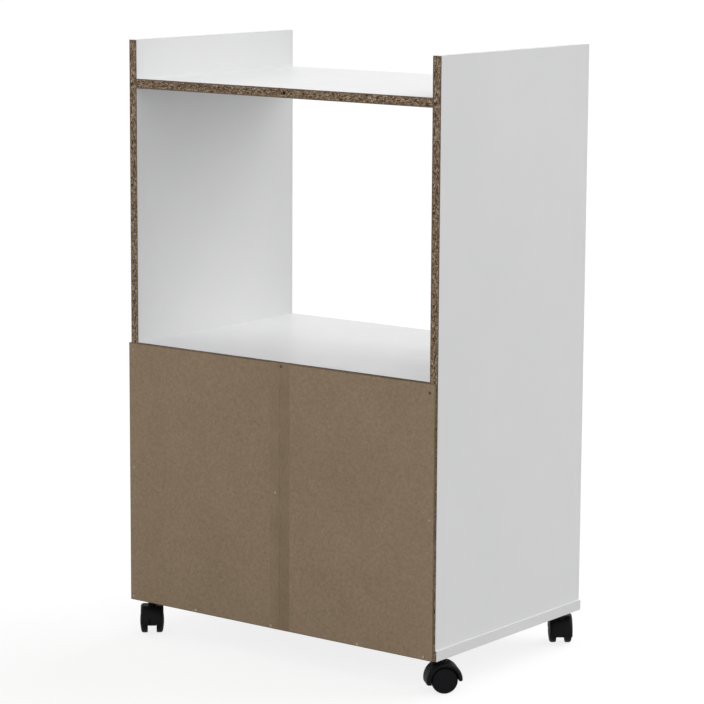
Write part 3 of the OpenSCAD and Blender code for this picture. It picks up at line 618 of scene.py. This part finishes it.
def solids(node):
    """The lowest and highest corner of each separate solid of a construction part."""
    bm = merged_copy(node)
    left = set(bm.verts)
    boxes = []
    while left:
        reached = [left.pop()]
        for vert in reached:
            for edge in vert.link_edges:
                other = edge.other_vert(vert)
                if other in left:
                    left.remove(other)
                    reached.append(other)
        corners = [Vector(pick(v.co[i] for v in reached) for i in range(3)) for pick in (min, max)]
        boxes.append(corners)
    bm.free()
    return sorted(boxes, key=lambda box: [round(c, 4) for c in box[0]])


def spun(outline, steps, rounding=0):
    """A closed body turned round +Z from an outline of (radius, height) points, in metres."""
    bm = bmesh.new()
    verts = [bm.verts.new((radius, 0, height)) for radius, height in outline]
    edges = [bm.edges.new(pair) for pair in zip(verts, verts[1:])]
    bmesh.ops.spin(
        bm, geom=verts + edges, axis=(0, 0, 1), cent=(0, 0, 0), angle=2 * math.pi, steps=steps, use_merge=True
    )
    bmesh.ops.remove_doubles(bm, verts=bm.verts, dist=1e-6)
    bmesh.ops.recalc_face_normals(bm, faces=bm.faces)
    if rounding:
        soften(bm, sharp_edges(bm, 0), rounding, 2)
    return bm


def pointing(place, direction):
    """The matrix that brings +Z at the origin to a direction at a place."""
    turn = Vector((0, 0, 1)).rotation_difference(Vector(direction)).to_matrix().to_4x4()
    return Matrix.Translation(place) @ turn


def copies(bm, matrices):
    """One bmesh of a body repeated at each matrix."""
    single = bpy.data.meshes.new("single")
    bm.to_mesh(single)
    bm.free()
    many = bmesh.new()
    for matrix in matrices:
        fresh = len(many.verts)
        many.from_mesh(single)
        many.verts.ensure_lookup_table()
        bmesh.ops.transform(many, matrix=matrix, verts=many.verts[fresh:])
    bpy.data.meshes.remove(single)
    return many


def nail(head_r, head_t, shank_r, length):
    """A nail along -Z from the seat of its head, which is at z = 0."""
    ribs = [(shank_r * (rib_dip if k % 2 else 1), -rib_start - k * rib_pitch) for k in range(rib_count)]
    outline = [
        (0, -length), (shank_r, -length + 4 * shank_r), *reversed(ribs),
        (shank_r, -0.2 * mm), (shank_r, 0), (head_r * 0.96, 0), (head_r, head_t * 0.3),
        (head_r * 0.97, head_t * 0.55), (head_r * 0.8, head_t * 0.85), (head_r * 0.5, head_t * 0.97),
        (0, head_t),
    ]
    return spun(outline, nail_steps)


zinc = steel_finish("zinc plating", (0.44, 0.44, 0.45, 1), (0.54, 0.535, 0.52, 1), (0.30, 0.46))
dull_zinc = steel_finish("dull zinc", (0.24, 0.21, 0.18, 1), (0.36, 0.32, 0.28, 1), (0.50, 0.68))
blackened = steel_finish("blackened nail", (0.05, 0.045, 0.04, 1), (0.12, 0.11, 0.10, 1), (0.45, 0.6))
nail_box = solids("back_nails")
nail_seats = []
for low, high in nail_box:
    middle = (low + high) / 2
    nail_seats.append(Vector((middle.x, high.y - nail_head_t, middle.z)))
fold_nail = max(nail_seats, key=lambda seat: seat.z)
left_nail = max((seat for seat in nail_seats if seat.x < back_low.x / 2), key=lambda seat: seat.z)
dark_nails = (fold_nail, left_nail)
head_r = (nail_box[0][1].x - nail_box[0][0].x) / 2
nail_length = nail_box[0][1].y - nail_box[0][0].y - nail_head_t
body = nail(head_r, nail_head_t, nail_shank_r, nail_length)
bm = copies(body, [pointing(seat, (0, 1, 0)) for seat in nail_seats])
for face in bm.faces:
    face.material_index = int(any((face.calc_center_median() - s).xz.length < 2 * head_r for s in dark_nails))
keep("wire_nails", bm, [dull_zinc, blackened], "back_nails", smooth=40)

# ---- Cams, bolts, dowels and shelf pins ----
# Zinc die-cast cam locks flush in the shelves' undersides, the steel bolts they grip, beech dowels that keep
# the boards in line, and plated pins under the cabinet shelf.
beech_pale = (0.52, 0.36, 0.20, 1)
beech_deep = (0.38, 0.24, 0.12, 1)
cam_shortest = 0.3 * mm
cam_arris = 0.05 * mm
pin_steps = 32
pin_chamfer = 0.6 * mm
pin_tip_chamfer = 0.8 * mm
pin_arris = 0.15 * mm


def dress(node, finish):
    """Gives a construction part that shows as it is its finish."""
    for slot in nodes[node].material_slots:
        slot.material = finish


def beech_finish():
    """Pale close-grained beech, with its fibres along x."""
    made, tree, shader, place = new_finish("beech", {"Specular IOR Level": 0.3})
    fibres = add(tree, "Mapping", {"Vector": place, "Scale": (60, 900, 900)}, vector_type="POINT").outputs[0]
    tone = drifting(tree, fibres, 1, beech_deep, beech_pale)
    tree.links.new(tone["Color"], shader.inputs["Base Color"])
    tree.links.new(between(tree, tone["Value"], 0.65, 0.8), shader.inputs["Roughness"])
    tree.links.new(grained(tree, fibres, 1, 0.03 * mm), shader.inputs["Normal"])
    return made


cast_zinc = steel_finish("cast zinc", (0.46, 0.46, 0.47, 1), (0.58, 0.58, 0.57, 1), (0.42, 0.58))
bm = merged_copy("cam_locks")
soften(bm, sharp_edges(bm, cam_shortest), cam_arris, 1)
keep("cam_discs", bm, [cast_zinc], "cam_locks")
dress("cam_bolts", zinc)
dress("dowels", beech_finish())
pin_box = solids("shelf_pins")
pin_r = (pin_box[0][1].z - pin_box[0][0].z) / 2
pin_len = pin_box[0][1].x - pin_box[0][0].x
pin = spun(
    [(0, 0), (pin_r - pin_chamfer, 0), (pin_r, pin_chamfer), (pin_r, pin_len - pin_tip_chamfer),
     (pin_r - pin_tip_chamfer, pin_len), (0, pin_len)],
    pin_steps, pin_arris,
)
pin_ends = []
for low, high in pin_box:
    outwards = math.copysign(1, low.x)
    start = Vector((low.x if outwards > 0 else high.x, (low.y + high.y) / 2, (low.z + high.z) / 2))
    pin_ends.append(pointing(start, (outwards, 0, 0)))
keep("shelf_studs", copies(pin, pin_ends), [zinc], "shelf_pins")

# ---- Screws ----
# Cross-headed screws: countersunk ones in the hinges, catches, strike plates and under the base board, and
# two with pan heads that hold the knobs from inside the doors. A size is the shank's radius, the head's
# radius and the head's height.
thread_depth = 0.16
screw_steps = 24
cross_taper = 0.45
wing_taper = 0.7
hinge_screw = (1.5 * mm, 2.7 * mm, 1.2 * mm)
catch_screw = (1.4 * mm, 2.8 * mm, 2.0 * mm)
plate_screw = (1.25 * mm, 2.25 * mm, 1.0 * mm)
base_screw = (3.4 * mm, 5.0 * mm, 3.0 * mm)
knob_screw = (2.0 * mm, 4.0 * mm, 2.4 * mm)


def cut_cross(bm, width, wing, depth):
    """Cuts a tapered cross recess into a body's top at z = 0. wing is how far each arm reaches."""
    cutter = bmesh.new()
    for turn in (0, math.pi / 2):
        made = bmesh.ops.create_cube(cutter, size=1)["verts"]
        bmesh.ops.scale(cutter, vec=(2 * wing, width, 2 * depth), verts=made)
        for vert in made:
            if vert.co.z < 0:
                vert.co.x *= cross_taper
                vert.co.y *= wing_taper
        bmesh.ops.rotate(cutter, matrix=Matrix.Rotation(turn, 3, "Z"), verts=made)
    objects = []
    for label, body in (("cut body", bm), ("cutter", cutter)):
        mesh = bpy.data.meshes.new(label)
        body.to_mesh(mesh)
        body.free()
        objects.append(bpy.data.objects.new(label, mesh))
        bpy.context.scene.collection.objects.link(objects[-1])
    boolean = objects[0].modifiers.new("cross", "BOOLEAN")
    boolean.object = objects[1]
    boolean.operation = "DIFFERENCE"
    boolean.solver = "EXACT"
    boolean.use_self = True
    result = bmesh.new()
    result.from_object(objects[0], bpy.context.evaluated_depsgraph_get())
    for helper in objects:
        mesh = helper.data
        bpy.data.objects.remove(helper)
        bpy.data.meshes.remove(mesh)
    return result


def screw(shank_r, length, head_r, head_h, pan):
    """A cross-headed screw along -Z. Its head's top is at z = 0, or at head_h with a pan head."""
    top = head_h if pan else 0
    seat = 0 if pan else -head_h
    pitch = 0.9 * shank_r
    turns = int((length + seat - 3 * shank_r) / pitch)
    shank = shank_r * 0.98
    thread = []
    for k in range(turns):
        z = seat - 0.6 * shank_r - k * pitch
        thread += [(shank_r * (1 - 2 * thread_depth), z), (shank, z - pitch / 2)]
    outline = [(0, -length), *reversed(thread), (shank, seat - 0.2 * shank_r), (shank, seat)]
    if pan:
        outline += [
            (head_r, seat), (head_r, top * 0.45), (head_r * 0.85, top * 0.85), (head_r * 0.6, top), (0, top),
        ]
    else:
        outline += [(head_r * 0.98, -0.12 * head_h), (head_r * 0.98, 0), (0, 0)]
    bm = spun(outline, screw_steps)
    bmesh.ops.translate(bm, vec=(0, 0, -top), verts=bm.verts)
    bm = cut_cross(bm, width=head_r * 0.26, wing=head_r * 0.62, depth=max(head_h * 0.9, head_r * 0.4))
    bmesh.ops.translate(bm, vec=(0, 0, top), verts=bm.verts)
    return bm


def screws(name, node, facing, size, finish, pan=False):
    """Screws in place of a construction part's plain ones. facing gives each one's way out by its middle."""
    shank_r, head_r, head_h = size
    places = []
    for low, high in solids(node):
        middle = (low + high) / 2
        way = Vector(facing(middle))
        length = abs((high - low).dot(way))
        places.append(pointing(middle + way * (length / 2 - (head_h if pan else 0)), way))
    body = screw(shank_r, length - (head_h if pan else 0), head_r, head_h, pan)
    keep(name, copies(body, places), [finish], node, smooth=40)


def to_middle(place):
    return (-math.copysign(1, place.x), 0, 0)


def to_side(place):
    return (math.copysign(1, place.x), 0, 0)


def down(place):
    return (0, 0, -1)


def backwards(place):
    return (0, 1, 0)


nickel = steel_finish(
    "satin nickel", (0.36, 0.345, 0.32, 1), (0.44, 0.42, 0.39, 1), (0.26, 0.38), (1, 1, 0.06)
)
screws("hinge_screws_frame", "frame_hinge_screws", to_middle, hinge_screw, nickel)
for side in ("left", "right"):
    screws("hinge_screws_door_" + side, f"door_{side}_hinge_screws", to_side, hinge_screw, nickel)
screws("ear_screws", "catch_screws", down, catch_screw, zinc)
for side in ("left", "right"):
    screws("plate_screw_" + side, "strike_screw_" + side, backwards, plate_screw, zinc)
screws("panel_screws", "base_screws", down, base_screw, zinc)
for side in ("left", "right"):
    screws("knob_bolt_" + side, "knob_screw_" + side, backwards, knob_screw, zinc, pan=True)

# ---- Hinges ----
# Butt hinges of pressed steel strip, satin nickel plated: each leaf's end is rolled into knuckles, and a
# pin with two domed caps runs through all three.
leaf_arris = 0.18 * mm
leaf_shortest = 4 * mm
rod_r = 1.25 * mm
rod_steps = 32
for node in ("frame_hinge_leaves", "door_left_hinge_leaves", "door_right_hinge_leaves"):
    bm = merged_copy(node)
    soften(bm, sharp_edges(bm, leaf_shortest), leaf_arris, 2)
    keep(node + "_pressed", bm, [nickel], node)
pins = solids("hinge_pins")
cap_r = (pins[0][1].x - pins[0][0].x) / 2
pin_half = (pins[0][1].z - pins[0][0].z) / 2
cap_t = 0.8 * mm
half_pin = [
    (rod_r, pin_half - cap_t), (cap_r, pin_half - cap_t), (cap_r, pin_half - cap_t * 0.55),
    (cap_r * 0.75, pin_half - cap_t * 0.15), (0, pin_half),
]
outline = [(r, -z) for r, z in reversed(half_pin)] + half_pin
places = [Matrix.Translation((low + high) / 2) for low, high in pins]
keep("hinge_rods", copies(spun(outline, rod_steps), places), [nickel], "hinge_pins")

# ---- Knobs ----
# Turned steel knobs with a tapered foot, a waist and a softly domed cap with a fine groove round it.
knob_steps = 64
knob_arris = 0.12 * mm
knob_bore_r = 2.05 * mm
knob_bore_depth = 12.0 * mm
for side in ("left", "right"):
    node = "knob_" + side
    low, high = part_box(node)
    tall = high.y - low.y
    wide = (high.x - low.x) / 2
    outline = [
        (knob_bore_r, 0), (8.0 * mm, 0), (7.9 * mm, 0.7 * mm), (6.3 * mm, 1.9 * mm), (5.2 * mm, 3.6 * mm),
        (4.9 * mm, 6.0 * mm), (5.2 * mm, 9.0 * mm), (6.6 * mm, 11.4 * mm), (9.6 * mm, 13.4 * mm),
        (wide - 0.8 * mm, 15.0 * mm), (wide, 15.9 * mm), (wide, 16.4 * mm), (wide - 0.5 * mm, 17.1 * mm),
        (wide - 2.0 * mm, 17.7 * mm), (wide - 2.3 * mm, 17.5 * mm), (wide - 2.6 * mm, 17.9 * mm),
        (9.0 * mm, 18.9 * mm), (5.0 * mm, 19.7 * mm), (0, tall),
    ]
    bore = [(0, knob_bore_depth), (knob_bore_r, knob_bore_depth)]
    place = pointing(((low.x + high.x) / 2, high.y, (low.z + high.z) / 2), (0, -1, 0))
    bm = copies(spun(bore + outline, knob_steps, knob_arris), [place])
    keep(node + "_turned", bm, [nickel], node, smooth=45)

# ---- Magnetic catches ----
# White moulded housings screwed under the microwave shelf, each with a ferrite block behind its face, and
# a steel plate on each door that the magnet holds.
catch_shortest = 3 * mm
case_arris = 0.35 * mm
plate_arris = 0.2 * mm


def moulded_finish(name, low_tone, high_tone, gloss, texture, shine=0.45):
    """Injection-moulded plastic with the fine spark texture of its mould."""
    made, tree, shader, place = new_finish(name, {"Specular IOR Level": shine})
    clouds = drifting(tree, place, 60, low_tone, high_tone)
    rubbed = drifting(tree, place, 220, low_tone, high_tone)
    tree.links.new(clouds["Color"], shader.inputs["Base Color"])
    tree.links.new(between(tree, rubbed["Value"], gloss[0], gloss[1]), shader.inputs["Roughness"])
    tree.links.new(grained(tree, place, 2600, texture), shader.inputs["Normal"])
    return made


white_plastic = moulded_finish(
    "white plastic", (0.74, 0.74, 0.72, 1), (0.78, 0.78, 0.76, 1), (0.35, 0.45), 0.02 * mm
)
ferrite = moulded_finish(
    "ferrite", (0.030, 0.030, 0.033, 1), (0.055, 0.055, 0.058, 1), (0.6, 0.75), 0.06 * mm
)
bm = merged_copy("catch_housings")
soften(bm, sharp_edges(bm, catch_shortest), case_arris, 2)
keep("catch_cases", bm, [white_plastic], "catch_housings")
dress("catch_magnets", ferrite)
for side in ("left", "right"):
    node = "strike_plate_" + side
    bm = merged_copy(node)
    soften(bm, sharp_edges(bm, catch_shortest), plate_arris, 2)
    keep(node + "_pressed", bm, [zinc], node)

# ---- Caster hoods ----
# Black nylon, moulded in one piece: a curved cover over both wheels, the web between them that holds the
# axle, and the neck that turns on the stem.
hood_voxel = 0.42 * mm
hood_passes = 5
nylon = moulded_finish(
    "black nylon", (0.0065, 0.0065, 0.0075, 1), (0.0095, 0.0095, 0.0108, 1), (0.46, 0.60), 0.02 * mm, 0.08
)
corners = ("front_left", "front_right", "rear_left", "rear_right")


def moulded(name, bm, finish, node, voxel, passes):
    """A piece whose edges and inner corners are rounded as a mould rounds them."""
    piece = keep(name, bm, [finish], node)
    remesh = piece.modifiers.new("walls", "REMESH")
    remesh.mode = "VOXEL"
    remesh.voxel_size = voxel
    smooth = piece.modifiers.new("fillets", "SMOOTH")
    smooth.factor = 0.5
    smooth.iterations = passes
    rounded = bpy.data.meshes.new_from_object(piece.evaluated_get(bpy.context.evaluated_depsgraph_get()))
    piece.modifiers.clear()
    old = piece.data
    piece.data = rounded
    bpy.data.meshes.remove(old)
    rounded.name = name
    rounded.shade_smooth()


for corner in corners:
    node = "hood_" + corner
    moulded(node + "_moulded", merged_copy(node), nylon, node, hood_voxel, hood_passes)
    dress("axle_" + corner, zinc)

# ---- Caster wheels ----
# Black nylon wheels, two to a caster. The outer face is a shallow dome with a groove near its rim and a
# gate mark in the middle, the tread has rounded edges, and the inner face is hollow round the hub.
wheel_steps = 96
groove_r = 17.0 * mm
groove_w = 0.5 * mm
groove_d = 0.3 * mm
bore_r = 2.55 * mm
bore_spare = 0.5 * mm
hub_r = 6.5 * mm
hollow_r = 16.5 * mm
hollow_depth = 4 * mm
gate_r = 2.6 * mm
gate_floor_r = 2.3 * mm
gate_depth = 0.25 * mm
near_tread = 0.05 * mm
joint_of = {joint["child"]: joint for joint in frame["joints"]}


def reach(node, centre, axis, least_r):
    """How near and how far along an axle, from its middle, a part's points past a radius lie."""
    found = []
    for vert in nodes[node].data.vertices:
        arm = vert.co - centre
        along = arm.dot(axis)
        if (arm - along * axis).length > least_r:
            found.append(along)
    return min(found), max(found)


def wheel_outline(radius, inner, outer, tread, bore_end):
    """From the bore's end out over the hub, the hollow, the tread and the dome to its middle."""
    sag = outer - inner - tread
    dome_r = (radius ** 2 + sag ** 2) / (2 * sag)

    def dome(r, sink=0):
        return (r, outer - dome_r + math.sqrt(dome_r ** 2 - r ** 2) - sink)

    return [
        (0, bore_end), (bore_r, bore_end), (bore_r, inner), (hub_r, inner),
        (hub_r, inner + hollow_depth), (hollow_r, inner + hollow_depth), (hollow_r, inner),
        (radius - 1.7 * mm, inner), (radius - 0.85 * mm, inner + 0.2 * mm),
        (radius - 0.25 * mm, inner + 0.75 * mm), (radius, inner + 1.6 * mm),
        (radius, inner + tread - 2.6 * mm), (radius - 0.3 * mm, inner + tread - 1.35 * mm),
        (radius - 0.95 * mm, inner + tread - 0.45 * mm), (radius - 1.7 * mm, inner + tread + 0.25 * mm),
        dome(groove_r + groove_w), dome(groove_r, groove_d), dome(groove_r - groove_w),
        dome(14.0 * mm), dome(11.0 * mm), dome(8.0 * mm), dome(5.0 * mm), dome(gate_r),
        dome(gate_floor_r, gate_depth), dome(0, gate_depth),
    ]


for corner in corners:
    for letter in "ab":
        node = f"wheel_{corner}_{letter}"
        low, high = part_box(node)
        joint = joint_of[node]
        centre = Vector(joint["pos_m"])
        outwards = Vector(joint["axis"])
        if ((low + high) / 2 - centre).dot(outwards) < 0:
            outwards.negate()
        radius = centre.z
        inner, outer = reach(node, centre, outwards, 0)
        tread = reach(node, centre, outwards, radius - near_tread)[1] - inner
        bore_end = reach("axle_" + corner, centre, outwards, 0)[1] + bore_spare
        body = spun(wheel_outline(radius, inner, outer, tread, bore_end), wheel_steps)
        keep(node + "_moulded", copies(body, [pointing(centre, outwards)]), [nylon], node, smooth=25)

# ---- Caster stems ----
# Plated steel pins in black nylon sockets in the base board. A collar carries the weight, and a sprung ring
# in a groove keeps the pin from dropping out. The hood turns on its lower end, which is chamfered.
stem_chamfer = 1.0 * mm
stem_shortest = 0.25 * mm
stem_arris = 0.06 * mm
for node, name, finish in (
    ("caster_sockets", "stem_sockets", nylon), ("caster_stems", "stem_pins", zinc),
    ("stem_grip_rings", "grip_rings", zinc),
):
    bm = merged_copy(node)
    if node == "caster_stems":
        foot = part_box(node)[0].z + same_place
        soften(bm, [edge for edge in bm.edges if all(v.co.z < foot for v in edge.verts)], stem_chamfer, 1)
    soften(bm, sharp_edges(bm, stem_shortest), stem_arris, 1)
    keep(name, bm, [finish], node)

# ---- Floor and light ----
# A plain white floor that keeps the cart's soft shadow, an even white surround, and four broad soft
# lights: the main one from the front and above, a weak one from the front, one from the right-hand side
# and a fill from behind.
floor_size = 60
floor_glow = 0.82
floor_seen = (0.22, 0.22, 0.22, 1)
floor_unseen = (0.40, 0.40, 0.40, 1)
surround_level = 0.33
lamp_width = math.radians(70)
lamps = {
    "main light": (2.2, (-0.35, -0.75, 0.55)),
    "front light": (0.2, (0.1, -1.0, 0.35)),
    "side light": (1.15, (1.0, -0.2, 0.15)),
    "fill light": (0.70, (-0.6, 0.8, 0.6)),
}


def background_rays(tree):
    """1 for rays that come from the camera, a reflection or through glass, and 0 for light."""
    paths = add(tree, "LightPath", {}).outputs
    shown = paths["Is Camera Ray"]
    for kind in ("Is Glossy Ray", "Is Transmission Ray"):
        shown = add(tree, "Math", {0: shown, 1: paths[kind]}, operation="MAXIMUM").outputs[0]
    return shown


bm = bmesh.new()
bmesh.ops.create_grid(bm, x_segments=1, y_segments=1, size=floor_size)
floor_mesh = bpy.data.meshes.new("floor")
bm.to_mesh(floor_mesh)
bm.free()
floor = bpy.data.objects.new("floor", floor_mesh)
bpy.context.scene.collection.objects.link(floor)
floor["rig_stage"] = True
paint = bpy.data.materials.new("floor paint")
paint.use_nodes = True
tree = paint.node_tree
tree.nodes.clear()
glow = add(tree, "Emission", {"Color": (1, 1, 1, 1), "Strength": floor_glow}).outputs[0]
white = add(tree, "BsdfDiffuse", {"Color": floor_seen}).outputs[0]
seen = add(tree, "AddShader", {0: glow, 1: white}).outputs[0]
unseen = add(tree, "BsdfDiffuse", {"Color": floor_unseen}).outputs[0]
mixed = add(tree, "MixShader", {0: background_rays(tree), 1: unseen, 2: seen}).outputs[0]
tree.links.new(mixed, add(tree, "OutputMaterial", {}).inputs["Surface"])
floor_mesh.materials.append(paint)

world = bpy.data.worlds.new("surround")
bpy.context.scene.world = world
world.use_nodes = True
tree = world.node_tree
tree.nodes.clear()
level = add(tree, "MapRange", {"Value": background_rays(tree), "To Min": surround_level, "To Max": 1.0})
sky = add(tree, "Background", {"Color": (1, 1, 1, 1), "Strength": level.outputs[0]}).outputs[0]
tree.links.new(sky, add(tree, "OutputWorld", {}).inputs["Surface"])

for name, (energy, direction) in lamps.items():
    lamp_data = bpy.data.lights.new(name, "SUN")
    lamp_data.energy = energy
    lamp_data.angle = lamp_width
    lamp = bpy.data.objects.new(name, lamp_data)
    lamp.rotation_euler = Vector(direction).to_track_quat("Z", "Y").to_euler()
    bpy.context.scene.collection.objects.link(lamp)
bpy.context.scene.view_settings.view_transform = "Standard"

# ---- Sizes ----
# The finished model's box.
low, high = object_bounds()
